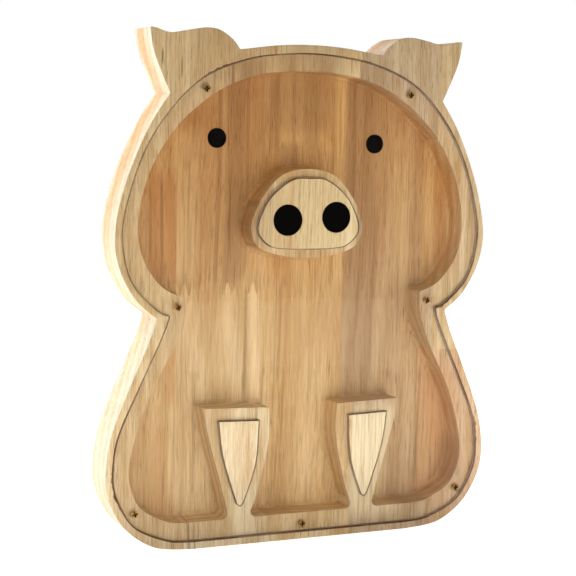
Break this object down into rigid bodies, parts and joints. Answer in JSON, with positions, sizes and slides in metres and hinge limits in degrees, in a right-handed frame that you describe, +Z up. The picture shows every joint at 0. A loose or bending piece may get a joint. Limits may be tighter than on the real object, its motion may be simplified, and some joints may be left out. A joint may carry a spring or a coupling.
{
  "type": "wooden money box",
  "caption": "Flat standing money box in the outline of a sitting pig, milled from edge-glued wood with a screwed-on clear front and a coin slot in the top.",
  "frame": {"origin": "middle of the flat base that the box stands on: halfway between the sides and halfway between the front and back faces", "axes": "+Z up from the base to the ears, the clear front faces -Y, +X to the right as seen from the front"},
  "size_m": [0.2452, 0.028, 0.3],
  "materials": {
    "wood_warm": "sanded, clear oiled, warm reddish stave",
    "wood_mid": "sanded, clear oiled, brown-streaked stave",
    "wood_pale": "sanded, clear oiled, pale stave",
    "wood_golden": "sanded, clear oiled, golden stave",
    "wood_pink": "sanded, clear oiled, pinkish open-pored stave",
    "wood_red": "sanded, clear oiled, reddish block",
    "clear_acrylic": "polished clear acrylic sheet",
    "brass": "dulled brass wood screw",
    "black_disc": "smooth black disc"
  },
  "bodies": {
    "box": {"stave_1": "wood_warm", "stave_2_upper": "wood_mid", "stave_2_lower": "wood_pale", "stave_3": "wood_golden", "stave_4": "wood_pink", "stave_5_upper": "wood_mid", "stave_5_lower": "wood_red", "left_eye": "black_disc", "right_eye": "black_disc", "left_nostril": "black_disc", "right_nostril": "black_disc"},
    "front": {"clear_front": "clear_acrylic"},
    "screw_top_left": {"screw_top_left": "brass"},
    "screw_top_right": {"screw_top_right": "brass"},
    "screw_neck_left": {"screw_neck_left": "brass"},
    "screw_neck_right": {"screw_neck_right": "brass"},
    "screw_foot_left": {"screw_foot_left": "brass"},
    "screw_foot_right": {"screw_foot_right": "brass"},
    "screw_base": {"screw_base": "brass"}
  },
  "joints": [
    {"name": "front_lift", "type": "slide", "parent": "box", "child": "front", "axis": [0, -1, 0], "range_m": [0, 0.04]},
    {"name": "screw_top_left_out", "type": "slide", "parent": "front", "child": "screw_top_left", "axis": [0, -1, 0], "range_m": [0, 0.013]},
    {"name": "screw_top_right_out", "type": "slide", "parent": "front", "child": "screw_top_right", "axis": [0, -1, 0], "range_m": [0, 0.013]},
    {"name": "screw_neck_left_out", "type": "slide", "parent": "front", "child": "screw_neck_left", "axis": [0, -1, 0], "range_m": [0, 0.013]},
    {"name": "screw_neck_right_out", "type": "slide", "parent": "front", "child": "screw_neck_right", "axis": [0, -1, 0], "range_m": [0, 0.013]},
    {"name": "screw_foot_left_out", "type": "slide", "parent": "front", "child": "screw_foot_left", "axis": [0, -1, 0], "range_m": [0, 0.013]},
    {"name": "screw_foot_right_out", "type": "slide", "parent": "front", "child": "screw_foot_right", "axis": [0, -1, 0], "range_m": [0, 0.013]},
    {"name": "screw_base_out", "type": "slide", "parent": "front", "child": "screw_base", "axis": [0, -1, 0], "range_m": [0, 0.013]}
  ]
}
